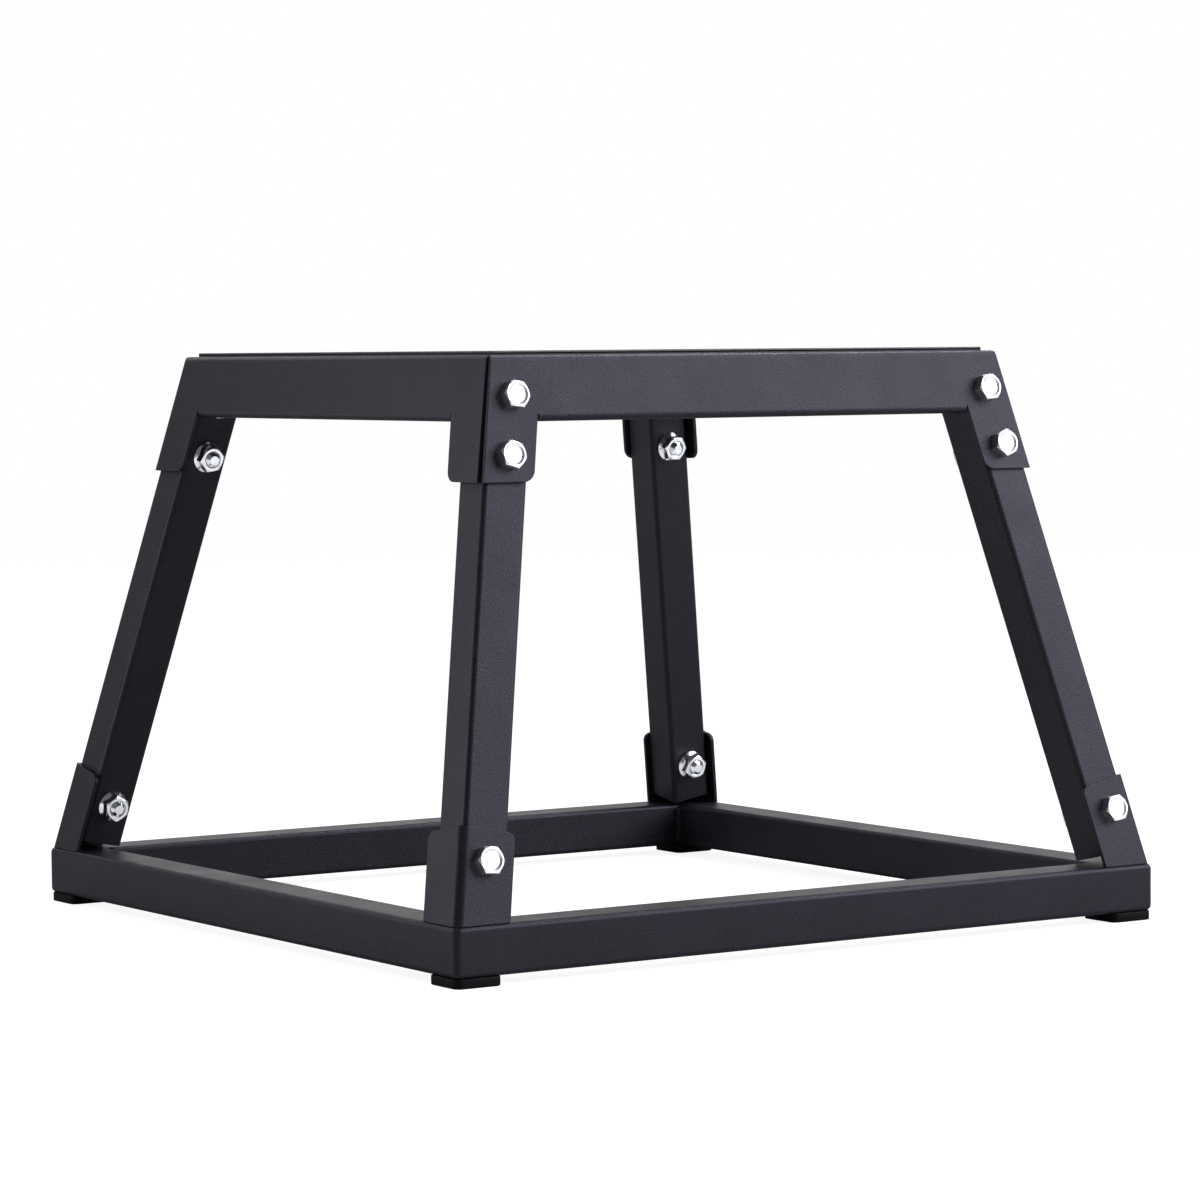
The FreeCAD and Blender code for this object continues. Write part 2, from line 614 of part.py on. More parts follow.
def chamfer_head(body, name, width, height, drop):
    """Turned chamfer of a hexagon's end face, 30 degrees to the face, that falls by drop at the corners."""
    corner = f"({width} / sqrt(3))"
    start = f"({corner} - {drop} * sqrt(3))"
    past = f"({corner} + Sizes.overrun)"
    above = f"({height} + Sizes.overrun)"
    sketch = new_sketch(body, name, "XZ_Plane")
    outline(sketch, [
        (start, height),
        (past, f"({height} - ({past} - {start}) / sqrt(3))"),
        (past, above),
        (start, above),
    ])
    groove(body, sketch)


def make_nut():
    """Flange nut with its bearing face at local Z 0."""
    body = new_body("flange_nut")
    flats = new_sketch(body, "nut_flats", "XY_Plane")
    hexagon(flats, "Sizes.nut_width")
    pad(body, flats, "Sizes.nut_height")
    flange = new_sketch(body, "nut_flange", "XZ_Plane")
    rim = "(Sizes.nut_flange_diameter / 2)"
    outline(flange, [
        ("0", "0"),
        (rim, "0"),
        (rim, "Sizes.nut_flange_edge"),
        ("(Sizes.nut_width / 2)", "Sizes.nut_flange_rise"),
        ("0", "Sizes.nut_flange_rise"),
    ])
    turned = body.newObject("PartDesign::Revolution", "nut_flange_turned")
    turned.Profile = flange
    turned.ReferenceAxis = (origin_feature(body, "Z_Axis"), [""])
    turned.Angle = 360
    doc.recompute()
    bore = new_sketch(body, "nut_bore", "XY_Plane")
    circle(bore, "0", "0", "Sizes.nut_bore_diameter")
    pocket(body, bore, "2 * (Sizes.nut_height + Sizes.overrun)", both_ways=True)
    return body


def make_group(name, pattern, placements):
    """Separate copies of one piece, kept together under one name."""
    group = doc.addObject("Part::Feature", name)
    group.Label = name
    copies = []
    for placement in placements:
        copy = pattern.Shape.copy()
        copy.Placement = placement.multiply(copy.Placement)
        copies.append(copy)
    group.Shape = Part.makeCompound(copies)
    group.Placement = FreeCAD.Placement()
    return finish(group)


def make_fasteners():
    """Bolts from outside the flanges, nuts on the inner faces of the legs, in three rows of four."""
    bolt = make_bolt()
    nut = make_nut()
    grip = number("Sizes.sheet_thickness + Sizes.tube_side")
    for row, height in BOLT_HEIGHTS.items():
        label = {"deck_upper": "deck_{}_upper", "deck_lower": "deck_{}_lower", "base": "base_{}"}[row]
        corners = [Corner(*signs) for signs in CORNERS.values()]
        spots = [(corner, corner.on_leg_line(number(height))) for corner in corners]
        make_group(label.format("bolts"), bolt, [corner.pointing(spot, 1) for corner, spot in spots])
        make_group(label.format("nuts"), nut,
                   [corner.pointing(spot - corner.out * grip, -1) for corner, spot in spots])


def make_bead(name, corners, length):
    """Straight weld bead of triangular section."""
    body = new_body(name)
    section = new_sketch(body, f"{name}_section", "YZ_Plane")
    outline(section, corners)
    pad(body, section, length, both_ways=True)
    return body


def make_welds():
    """Beads up the inner corners of the base, and along the inside of the brackets' feet."""
    leg = "Sizes.corner_weld_leg"
    bead = make_bead("corner_bead", [("0", "0"), (leg, "0"), ("0", leg)],
                     "Sizes.tube_side - 2 * Sizes.tube_edge_radius")
    inner = number("Sizes.base_side / 2 - Sizes.tube_side")
    level = number(f"{RAIL_TOP} - Sizes.tube_side / 2")
    upright = FreeCAD.Rotation(Vector(0, 0, 1), Vector(1, 0, 0), Vector(0, 1, 0), "XYZ")
    turns = [FreeCAD.Rotation(Vector(0, 0, 1), 90 * turn) for turn in range(4)]
    quarter_turns = [FreeCAD.Placement(Vector(), turn) for turn in turns]
    in_corner = FreeCAD.Placement(Vector(-inner, -inner, level), upright)
    make_group("base_corner_welds", bead, [turn.multiply(in_corner) for turn in quarter_turns])

    leg = "Sizes.bracket_weld_leg"
    bead = make_bead("bracket_bead", [("0", "0"), (leg, "0"), (f"({leg} * {LEAN})", leg)],
                     "Sizes.bracket_weld_length")
    face = number(f"-{BRACKET_HALF} + Sizes.sheet_thickness / cos({TILT})")
    flange_end = f"({BRACKET_HALF} - Sizes.bracket_flange)"
    along = number(f"{flange_end} + Sizes.bracket_weld_length / 2 + Sizes.sheet_thickness")
    places = [Vector(way * along, face, number(RAIL_TOP)) for way in (-1, 1)]
    spots = [FreeCAD.Placement(place, FreeCAD.Rotation()) for place in places]
    make_group("bracket_welds", bead, [turn.multiply(spot) for turn in quarter_turns for spot in spots])


make_deck()
make_mat()
for corner_name, signs in CORNERS.items():
    make_leg(corner_name, Corner(*signs))
for quarter, rail_side in enumerate(("front", "right", "back", "left")):
    make_rail(rail_side, 90 * quarter)
for corner_name, signs in CORNERS.items():
    make_bracket(corner_name, *signs)
    make_foot(corner_name, *signs)
make_fasteners()
make_welds()
doc.recompute()

for item in doc.Objects:
    if "Invalid" in item.State or "Error" in item.State:
        raise RuntimeError(f"{item.Label} did not build: {item.State}")
for piece in pieces:
    if piece.Shape.isNull() or not piece.Shape.isValid():
        raise RuntimeError(f"{piece.Label} has no valid shape")

os.makedirs("parts", exist_ok=True)
for piece in pieces:
    piece.Shape.exportStep(f"parts/{piece.Label}.step")
    print(f"{piece.Label}: {len(piece.Shape.Solids)} solids, {piece.Shape.Volume / 1000:.2f} cm3")
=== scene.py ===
"""Steel plyo box: powder-coated frame, zinc hardware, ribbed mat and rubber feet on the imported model."""
import math

import bmesh
import bpy
from bpy.props import FloatProperty, FloatVectorProperty, IntProperty, PointerProperty
from bpy.types import Operator, Panel, PropertyGroup
from mathutils import Matrix, Vector


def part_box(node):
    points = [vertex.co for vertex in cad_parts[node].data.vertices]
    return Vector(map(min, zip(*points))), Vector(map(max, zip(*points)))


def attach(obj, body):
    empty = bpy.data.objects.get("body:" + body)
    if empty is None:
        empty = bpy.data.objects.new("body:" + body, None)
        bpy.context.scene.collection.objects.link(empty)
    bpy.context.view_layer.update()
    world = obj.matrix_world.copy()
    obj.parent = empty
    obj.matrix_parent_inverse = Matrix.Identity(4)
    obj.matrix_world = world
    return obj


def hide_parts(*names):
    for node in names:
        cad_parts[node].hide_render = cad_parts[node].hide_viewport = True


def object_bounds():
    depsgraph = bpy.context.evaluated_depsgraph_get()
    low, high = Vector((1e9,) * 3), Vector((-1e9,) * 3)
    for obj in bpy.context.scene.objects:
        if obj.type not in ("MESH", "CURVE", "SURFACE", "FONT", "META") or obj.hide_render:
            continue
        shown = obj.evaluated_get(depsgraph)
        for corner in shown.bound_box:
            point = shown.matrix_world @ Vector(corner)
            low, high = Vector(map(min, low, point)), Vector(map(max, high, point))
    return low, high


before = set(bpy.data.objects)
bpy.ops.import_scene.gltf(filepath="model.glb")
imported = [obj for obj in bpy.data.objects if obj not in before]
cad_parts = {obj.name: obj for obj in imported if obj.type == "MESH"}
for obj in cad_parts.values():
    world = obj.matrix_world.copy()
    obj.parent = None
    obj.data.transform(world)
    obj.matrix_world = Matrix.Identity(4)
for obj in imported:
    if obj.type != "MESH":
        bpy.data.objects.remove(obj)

bl_info = {
    "name": "Steel plyo box",
    "version": (1, 0, 0),
    "blender": (4, 5, 0),
    "location": "View3D > Sidebar > Plyo Box",
    "description": "Dresses the packed plyo box: finishes, hardware, mat, feet, weld beads and studio",
    "category": "Object",
}

CAD_LOW, CAD_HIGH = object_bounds()
MAT_LOW, MAT_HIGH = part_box("grip_mat")
RAIL_LOW, RAIL_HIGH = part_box("base_rail_front")

CORNERS = {"front_left": (-1, -1), "front_right": (1, -1), "back_left": (-1, 1), "back_right": (1, 1)}
COATED_NODES = ["top_deck"]
COATED_NODES += [f"{piece}_{corner}" for piece in ("leg", "bracket") for corner in CORNERS]
COATED_NODES += [f"base_rail_{side}" for side in ("front", "back", "left", "right")]
BOLT_ROWS = ("deck_upper", "deck_lower", "base")
NODE_OF_ROW = {"deck_upper": "deck_{}_upper", "deck_lower": "deck_{}_lower", "base": "base_{}"}
# How far each hexagon is turned from a corner that points across the leg, in degrees
HEAD_TURNS = {"deck_upper": (4, -7, 11, -3), "deck_lower": (-5, 9, 2, 14), "base": (7, -4, -12, 5)}
NUT_TURNS = {"deck_upper": (30, 30, 5, 24), "deck_lower": (30, 30, 21, -13), "base": (30, 30, -16, 9)}

# Angles in degrees above which an edge looks sharp
PLAIN_SHARP = 30.0
HARDWARE_SHARP = 14.0
BEAD_SHARP = 60.0

# Lengths from here on are in metres. Points closer than the first are one, and edges that rise less than
# the second are level
SAME_POINT = 1e-7
LEVEL = 1e-6
# Profile of a bevel that is an arc
ARC = 0.5

# Hexagons: segments of an eased corner, cuts along a side, and how many times the easing a side is at least
HEX_CORNER_SEGMENTS = 3
HEX_SIDE_CUTS = 8
HEX_SIDE = 3
TURNED_STEPS = 40

# Bolt heads: easing of the corners, radius of the round face as a share of the width, and the face's rings
# as shares of that radius with their depths
HEAD_EASE = 0.00025
HEAD_FACE = 0.485
HEAD_RINGS = ((1.0, 0.0), (0.89, 0.0), (0.70, 0.0007), (0.46, 0.0007), (0.41, 0.0006))
# Attribute of the faces that stand upright on the heads, and the slope up to which they count as upright
FLATS = "drawn_flats"
FLATS_SLOPE = 0.5

# Shanks: length of the end's chamfer, the end's radius as a share of the thread's root, and how far the
# shank runs into the head
END_CHAMFER = 0.0007
END_SHARE = 0.76
HEAD_LAP = 0.0005
# Threads: number of turns, then depth, start and end of the crest, and run-out as shares of the pitch
THREAD_TURNS = 14
THREAD_DEPTH = 0.54
CREST_START = 0.42
CREST_END = 0.58
THREAD_RUN_OUT = 0.5

# Nuts: easing of the corners, radius of the face as a share of the width, play round the bolt, and depths
# of the countersink and of the open bore
NUT_EASE = 0.0003
NUT_FACE = 0.47
NUT_PLAY = 0.00015
NUT_SINK = 0.0007
NUT_BORE = 0.0025
# Flanges of the nuts: easing of the edge, height of the rim and of the cone's top, and steps round
FLANGE_EASE = 0.0003
FLANGE_RIM = 0.0012
FLANGE_TOP = 0.0026
FLANGE_STEPS = 56

# Mat and feet: rounding of a rib's crest as a share of its width, easing of a foot's rims, and segments
RIB_CREST = 0.36
RIB_SEGMENTS = 3
FOOT_RIM = 0.0007
FOOT_RIM_SEGMENTS = 3
FOOT_CORNER_SEGMENTS = 6

# Weld beads: drops in a bead, then half-axes of a drop, its distances from the upright faces and from the
# rail, and the bare ends of the upright beads, all as shares of the bead's leg
BEAD_DROPS = 10
CORNER_DROP = (0.42, 0.62, 0.36)
BRACKET_DROP = (0.34, 0.34, 0.5)
BEAD_OFF_FACE = 0.28
BEAD_OFF_RAIL = 0.30
BEAD_BARE_END = 0.3
# Steps round a drop, and from pole to pole
CORNER_DROP_STEPS = 16
BRACKET_DROP_STEPS = 12
DROP_RISE_STEPS = 8
# Beads behind the brackets: half their length, and their middle from the inside of the bend
BRACKET_BEAD_HALF = 0.0075
BRACKET_BEAD_MIDDLE = 0.0165

# Noises of the finishes: scale, detail and roughness
COAT_MOTTLE = (38.0, 4.0, 0.55)
COAT_PEBBLE = (1250.0, 2.0, 0.5)
COAT_GRAIN = (2800.0, 2.0, 0.6)
ZINC_CLOUD = (420.0, 3.0, 0.55)
ZINC_GRAIN = (3200.0, 2.0, 0.55)
MAT_GRAIN = (1800.0, 3.0, 0.55)
FOOT_GRAIN = (1500.0, 3.0, 0.55)
RUBBER_DUST = (70.0, 5.0, 0.6)
# Reliefs of the finishes: depth and strength, and the radius to which edges are eased
COAT_RELIEF = (0.00020, 0.9)
ZINC_RELIEF = (0.000008, 0.3)
RUBBER_RELIEF = (0.00004, 0.6)
COAT_EDGE = 0.0006
ZINC_EDGE = 0.0003
EDGE_SAMPLES = 6
# Coat: shares of mottle and pebble in its tone, range of the tone that is used, share of the grain in its
# relief, how far the roughness strays, and the tint of its highlights
COAT_MOTTLE_SHARE = 0.4
COAT_PEBBLE_SHARE = 0.6
COAT_TONES = (0.35, 0.65)
COAT_GRAIN_SHARE = 0.35
COAT_STRAY = (-0.03, 0.05)
COAT_SHEEN = (0.85, 0.85, 1.0, 1.0)
# Zinc: range of its roughness, and how much rougher the upright flats are
ZINC_ROUGHNESS = (0.12, 0.22)
FLATS_DULL = 0.18
# Rubber: range of the dust that is used, what dust does to the colour, and how far the roughness strays
DUST_RANGE = (0.4, 0.75)
DUST_GAIN = 1.4
DUST_LIFT = 0.001
RUBBER_STRAY = (-0.03, 0.04)

# Softboxes: place, size and the property with the power. They all face one point of the box
SOFTBOXES = {
    "key_softbox": ((1.88, -1.82, 1.50), (2.4, 2.2), "key_power"),
    "left_strip": ((-0.79, 0.47, 0.28), (0.25, 0.64), "side_power"),
    "top_softbox": ((0.95, 0.15, 1.65), (0.55, 0.55), "top_power"),
    "back_softbox": ((-0.20, 1.45, 0.95), (0.9, 0.5), "back_power"),
}
LAMP_AIM = (0, 0, 0.16)
CARD_PLACE = (0.0, -0.1, 0.002)
CARD_SIZE = (1.6, 1.6)
PLATED = ("hex_bolts", "flange_nuts")
SENSOR = 36.0
# Level direction from the camera to the backdrop
BACKDROP_WAY = (0.55, 0.835, 0.0)
# Floor: half its side, glow to the eye, and its tone and mirrored glow from one distance to another
# towards the backdrop, as value, value, distance, distance
FLOOR_HALF = 6.0
FLOOR_GLOW = 0.88
# The floor's pale tone darkens towards the backdrop: painted shade of the floor behind and under the box
FLOOR_SHADED_TONE = (0.52, 0.25, -0.3, 0.5)
FLOOR_MIRRORED = (0.0, 0.88, 0.8, 1.8)
# World: glow to the eye, mirrored glow from the room to the backdrop in the same form, and tint of the sky
WORLD_GLOW = 1.0
WORLD_MIRRORED = (0.13, 1.0, 0.70, 0.98)
SKY_TINT = (0.95, 0.97, 1.0, 1.0)


def length(name, description, default):
    return FloatProperty(name=name, description=description, default=default, min=0.0, precision=5,
                         subtype="DISTANCE", unit="LENGTH")


def colour(name, description, default):
    return FloatVectorProperty(name=name, description=description, default=default, min=0.0, max=1.0,
                               size=3, subtype="COLOR")


def amount(name, description, default):
    return FloatProperty(name=name, description=description, default=default, min=0.0, max=1.0,
                         subtype="FACTOR")


def power(name, description, default):
    return FloatProperty(name=name, description=description, default=default, min=0.0, unit="POWER")


def angle(name, description, degrees):
    return FloatProperty(name=name, description=description, default=math.radians(degrees),
                         subtype="ANGLE", unit="ROTATION")


class PlyoBoxSizes(PropertyGroup):
    """Sizes of the frame that the new pieces are set on, and of the pieces themselves."""
    deck_side: length("Deck side", "Across the top of the deck, at the bends", 0.318)
    plate_top: length("Plate top", "Floor to the top of the deck plate", MAT_LOW[2])
    rail_top: length("Rail top", "Floor to the top of the base rails", RAIL_HIGH[2])
    base_side: length("Base side", "Across the outside of the base rails", CAD_HIGH[0] - CAD_LOW[0])
    bracket_inset: length("Bracket inset", "Bracket's foot to the outer face of the rails", 0.001)
    sheet: length("Sheet thickness", "Sheet of the deck and the brackets", 0.002)
    tube: length("Tube side", "Square tube of the legs and rails", RAIL_HIGH[2] - RAIL_LOW[2])
    leg_side_gap: length("Leg side gap", "Leg's outer edge to the unbolted flange beside it", 0.0005)
    upper_bolt: length("Upper bolt height", "Floor to the upper deck bolts", 0.283)
    lower_bolt: length("Lower bolt height", "Floor to the lower deck bolts", 0.2535)
    base_bolt: length("Base bolt height", "Floor to the base bolts", 0.0600)
    head_width: length("Head width", "Bolt head across the flats", 0.013)
    head_height: length("Head height", "Bolt head above its bearing face", 0.0053)
    bolt_diameter: length("Bolt diameter", "Outside of the thread", 0.008)
    thread_pitch: length("Thread pitch", "One turn of the thread", 0.00125)
    bolt_tip: length("Bolt tip", "Bolt standing proud of its nut", 0.0019)
    nut_height: length("Nut height", "Flange nut above its bearing face", 0.0071)
    nut_flange: length("Nut flange", "Across the flange of the nut", 0.017)
    mat_ribs: IntProperty(name="Mat ribs", description="Ribs across the grip mat", default=103, min=3)
    mat_rib: length("Rib width", "Width of a rib at its root", 0.0018)
    mat_web: length("Mat backing", "Thickness of the mat under its ribs", 0.0012)
    foot_round: length("Foot corner", "Corner radius of the rubber feet", 0.004)
    corner_bead: length("Corner bead", "Leg of the weld beads in the base's corners", 0.004)
    bracket_bead: length("Bracket bead", "Leg of the weld beads behind the brackets", 0.003)


class PlyoBoxFinishes(PropertyGroup):
    """Colours, roughness and gloss of the four finishes."""
    coat: colour("Powder coat", "Charcoal black of the coated steel", (0.0070, 0.0067, 0.0088))
    coat_light: colour("Powder coat, lighter", "Lighter mottling of the coat", (0.0120, 0.0115, 0.0146))
    coat_roughness: amount("Coat roughness", "Roughness of the coat's fine texture", 0.42)
    coat_gloss: amount("Coat gloss", "Strength of the coat's highlights", 0.40)
    zinc: colour("Zinc", "Bright zinc plating", (0.92, 0.93, 0.95))
    zinc_dull: colour("Zinc, dull", "Duller patches of the plating", (0.78, 0.79, 0.82))
    mat: colour("Mat rubber", "Black rubber of the grip mat", (0.014, 0.014, 0.0155))
    mat_roughness: amount("Mat roughness", "Roughness of the mat's rubber", 0.50)
    mat_gloss: amount("Mat gloss", "Strength of the mat's highlights", 0.62)
    foot: colour("Foot rubber", "Black rubber of the feet", (0.0035, 0.0035, 0.0038))
    foot_roughness: amount("Foot roughness", "Roughness of the feet's rubber", 0.55)
    foot_gloss: amount("Foot gloss", "Strength of the feet's highlights", 0.12)


class PlyoBoxStudio(PropertyGroup):
    """Camera and light of the studio."""
    camera_place: FloatVectorProperty(name="Camera place", description="Where the camera stands",
                                      default=(-1.310, -2.004, 0.306), size=3, subtype="TRANSLATION",
                                      unit="LENGTH")
    yaw: angle("Yaw", "Turn of the camera from straight at the front", 33.37)
    pitch: angle("Pitch", "Rise of the camera's line of sight", -3.27)
    roll: angle("Roll", "Turn of the camera about its line of sight", -0.50)
    lens: FloatProperty(name="Lens", description="Focal length in millimetres on a 36 mm square frame",
                        default=132.3, min=10.0)
    key_power: power("Key light", "Power of the large softbox at the right", 79.0)
    side_power: power("Side light", "Power of the strip light at the left", 1.75)
    top_power: power("Top light", "Power of the softbox above, at the right", 15.0)
    back_power: power("Back light", "Power of the softbox behind the box", 2.3)
    card_power: power("Floor card", "Power of the white card under the box", 4.0)
    key_colour: colour("Key colour", "Cool light of the softboxes", (0.89, 0.89, 1.0))
    sky: FloatProperty(name="Sky", description="Strength of the soft light from all round",
                       default=0.45, min=0.0)
    background: colour("Background", "White of the floor, the backdrop and the card", (1.0, 1.0, 1.0))


# Building meshes

def remove_old(name):
    """Removes the object that an earlier run of a step has left."""
    old = bpy.data.objects.get(name)
    if old is not None:
        bpy.data.objects.remove(old, do_unlink=True)


def new_piece(name, bm, finish, sharp=PLAIN_SHARP):
    """Object at the origin made from a bmesh, with one finish, that takes the place of an older one."""
    remove_old(name)
    mesh = bpy.data.meshes.new(name)
    bm.to_mesh(mesh)
    bm.free()
    if not mesh.polygons:
        raise RuntimeError(f"{name} has no faces")
    mesh.shade_smooth()
    mesh.set_sharp_from_angle(angle=math.radians(sharp))
    mesh.materials.append(finish)
    piece = bpy.data.objects.new(name, mesh)
    bpy.context.scene.collection.objects.link(piece)
    return piece


def settle(piece, slot, *nodes):
    """The piece rides on the box and stands for CAD nodes, which it hides. Its slot is not used."""
    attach(piece, "root")
    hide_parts(*nodes)


def block(bm, size, middle):
    """Adds a cuboid of a size about a middle."""
    verts = bmesh.ops.create_cube(bm, size=1.0)["verts"]
    bmesh.ops.scale(bm, vec=size, verts=verts)
    bmesh.ops.translate(bm, vec=middle, verts=verts)


def round_edges(bm, edges, radius, segments):
    bmesh.ops.bevel(bm, geom=edges, offset=radius, affect="EDGES", segments=segments, profile=ARC,
                    material=-1)


def rise_of(edge):
    return abs(edge.verts[0].co.z - edge.verts[1].co.z)


def turned(bm, profile, steps=TURNED_STEPS):
    """Adds a solid turned about Z from an outline of (radius, height) that starts and ends on the axis."""
    verts = [bm.verts.new((radius, 0.0, height)) for radius, height in profile]
    edges = [bm.edges.new(pair) for pair in zip(verts, verts[1:])]
    made = bmesh.ops.spin(bm, geom=verts + edges, cent=(0, 0, 0), axis=(0, 0, 1), angle=2 * math.pi,
                          steps=steps, use_merge=True)
    whole = set(verts) | {item for item in made["geom_last"] if isinstance(item, bmesh.types.BMVert)}
    whole = linked_verts(whole)
    bmesh.ops.remove_doubles(bm, verts=list(whole), dist=SAME_POINT)
    clean_normals(bm)


def linked_verts(start):
    """All vertices joined to some of them by edges."""
    found = set(start)
    waiting = list(start)
    while waiting:
        for edge in waiting.pop().link_edges:
            for vert in edge.verts:
                if vert not in found:
                    found.add(vert)
                    waiting.append(vert)
    return found


def clean_normals(bm):
    bmesh.ops.recalc_face_normals(bm, faces=bm.faces[:])


def next_ring(bm, ring, radius=None, height=None):
    """Carries a ring of edges on by an extrusion and sets the radius and height of the new ring."""
    made = bmesh.ops.extrude_edge_only(bm, edges=ring)["geom"]
    for vert in (item for item in made if isinstance(item, bmesh.types.BMVert)):
        if radius is not None:
            vert.co.xy = vert.co.xy.normalized() * radius
        if height is not None:
            vert.co.z = height
    return [item for item in made if isinstance(item, bmesh.types.BMEdge)
            and len(item.link_faces) == 1 and item not in ring]


def ring_verts(ring):
    return {vert for edge in ring for vert in edge.verts}


def hexagon_ring(bm, width, height, easing):
    """Hexagon with eased corners and a closed face at a height, whose sides are finely divided."""
    place = Matrix.Translation((0, 0, height)) @ Matrix.Rotation(math.pi / 2, 4, "Z")
    made = bmesh.ops.create_circle(bm, cap_ends=True, segments=6, radius=width / math.sqrt(3), matrix=place)
    bmesh.ops.bevel(bm, geom=made["verts"], offset=easing, affect="VERTICES", segments=HEX_CORNER_SEGMENTS,
                    profile=ARC, material=-1)
    sides = [edge for edge in bm.edges if edge.calc_length() > HEX_SIDE * easing]
    bmesh.ops.subdivide_edges(bm, edges=sides, cuts=HEX_SIDE_CUTS)
    return bm.edges[:]


def lower_corners(ring, top, start):
    """Turned chamfer: the ring falls at 30 degrees outside a starting radius."""
    for vert in ring_verts(ring):
        vert.co.z = top - max(0.0, vert.co.xy.length - start) / math.sqrt(3)


def mark_flats(bm):
    """Marks the upright faces, so that the finish can make them duller."""
    bm.normal_update()
    mark = bm.faces.layers.float.new(FLATS)
    for face in bm.faces:
        face[mark] = float(abs(face.normal.z) < FLATS_SLOPE)


def placed(bm, pattern, places):
    """Adds a copy of a bmesh at each placement."""
    mesh = bpy.data.meshes.new("pattern")
    pattern.to_mesh(mesh)
    pattern.free()
    for place in places:
        before = len(bm.verts)
        bm.from_mesh(mesh)
        bm.verts.ensure_lookup_table()
        bmesh.ops.transform(bm, matrix=place, verts=bm.verts[before:])
    bpy.data.meshes.remove(mesh)


def weld_drop(bm, place, leg, shares, steps):
    """Adds one drop of a weld bead, whose half-axes are shares of the bead's leg."""
    axes = [leg * share for share in shares]
    bmesh.ops.create_uvsphere(bm, u_segments=steps, v_segments=DROP_RISE_STEPS, radius=1.0,
                              matrix=place @ Matrix.Diagonal((*axes, 1)))


# Places on the leaning corners

class LeaningCorner:
    """Directions at one corner of the box, and places on its bolted flange."""

    def __init__(self, sizes, right, back):
        rise = sizes.plate_top - sizes.rail_top
        lean = (sizes.base_side / 2 - sizes.bracket_inset - sizes.deck_side / 2) / rise
        tilt = math.atan(lean)
        self.stretch = math.sqrt(1 + 2 * lean ** 2)
        self.rise = Vector((-right * lean, -back * lean, 1)) / self.stretch
        self.out = Vector((0, back * math.cos(tilt), math.sin(tilt)))
        across = Vector((right / math.cos(tilt), -back * lean * math.sin(tilt), math.sin(tilt)))
        self.across = across / self.stretch
        meet = math.sin(tilt) ** 2
        leg_edge = (sizes.sheet * (1 - meet) + sizes.leg_side_gap) / math.sqrt(1 - meet ** 2)
        tip = Vector((right * sizes.deck_side / 2, back * sizes.deck_side / 2, sizes.plate_top))
        self.start = tip - self.across * (leg_edge + sizes.tube / 2)

    def on_flange(self, height):
        """Place at a height on the outer face of the flange, over the middle of the leg."""
        return self.start + self.rise * ((height - self.start.z) * self.stretch)

    def placement(self, place, way, turn):
        """Placement with Z along the bolt, out of the flange or into the box, turned about the bolt."""
        axis = self.out * way
        side = axis.cross(self.across)
        matrix = Matrix((self.across, side, axis)).transposed().to_4x4()
        return Matrix.Translation(place) @ matrix @ Matrix.Rotation(math.radians(turn), 4, "Z")


def row_height(sizes, row):
    return {"deck_upper": sizes.upper_bolt, "deck_lower": sizes.lower_bolt, "base": sizes.base_bolt}[row]


# Finishes

def empty_tree(owner):
    """Node tree of a material or world, emptied for a fresh build."""
    owner.use_nodes = True
    owner.node_tree.nodes.clear()
    return owner.node_tree


def new_finish(name):
    """Node material with a principled shader, and its object coordinates."""
    finish = bpy.data.materials.get(name) or bpy.data.materials.new(name)
    tree = empty_tree(finish)
    out = tree.nodes.new("ShaderNodeOutputMaterial")
    shader = tree.nodes.new("ShaderNodeBsdfPrincipled")
    tree.links.new(shader.outputs["BSDF"], out.inputs["Surface"])
    coords = tree.nodes.new("ShaderNodeTexCoord")
    return finish, tree, shader, coords.outputs["Object"]


def noise(tree, coords, scale, detail, roughness):
    texture = tree.nodes.new("ShaderNodeTexNoise")
    texture.inputs["Scale"].default_value = scale
    texture.inputs["Detail"].default_value = detail
    texture.inputs["Roughness"].default_value = roughness
    tree.links.new(coords, texture.inputs["Vector"])
    return texture.outputs["Fac"]


def spread(tree, value, low, high, start=0.3, end=0.7):
    """Maps a range of a value, by default the middle one of a noise, to a range from low to high."""
    ranged = tree.nodes.new("ShaderNodeMapRange")
    ranged.inputs["From Min"].default_value = start
    ranged.inputs["From Max"].default_value = end
    ranged.inputs["To Min"].default_value = low
    ranged.inputs["To Max"].default_value = high
    tree.links.new(value, ranged.inputs["Value"])
    return ranged.outputs["Result"]


def tint(tree, value, first, second):
    """Mixes two colours by a value from 0 to 1."""
    mix = tree.nodes.new("ShaderNodeMix")
    mix.data_type = "RGBA"
    tree.links.new(value, mix.inputs["Factor"])
    mix.inputs["A"].default_value = (*first, 1.0)
    mix.inputs["B"].default_value = (*second, 1.0)
    return mix.outputs["Result"]


def combine(tree, operation, first, second):
    """Maths on two values, either of which may be a plain number."""
    maths = tree.nodes.new("ShaderNodeMath")
    maths.operation = operation
    for socket, value in zip(maths.inputs, (first, second)):
        if isinstance(value, (int, float)):
            socket.default_value = value
        else:
            tree.links.new(value, socket)
    return maths.outputs["Value"]


def relief(tree, shader, height, depth, strength, eased_edge=None):
    """Bump of a depth in metres on the shader, over edges that are eased by a small radius."""
    bump = tree.nodes.new("ShaderNodeBump")
    bump.inputs["Strength"].default_value = strength
    bump.inputs["Distance"].default_value = depth
    tree.links.new(height, bump.inputs["Height"])
    if eased_edge:
        bevel = tree.nodes.new("ShaderNodeBevel")
        bevel.samples = EDGE_SAMPLES
        bevel.inputs["Radius"].default_value = eased_edge
        tree.links.new(bevel.outputs["Normal"], bump.inputs["Normal"])
    tree.links.new(bump.outputs["Normal"], shader.inputs["Normal"])


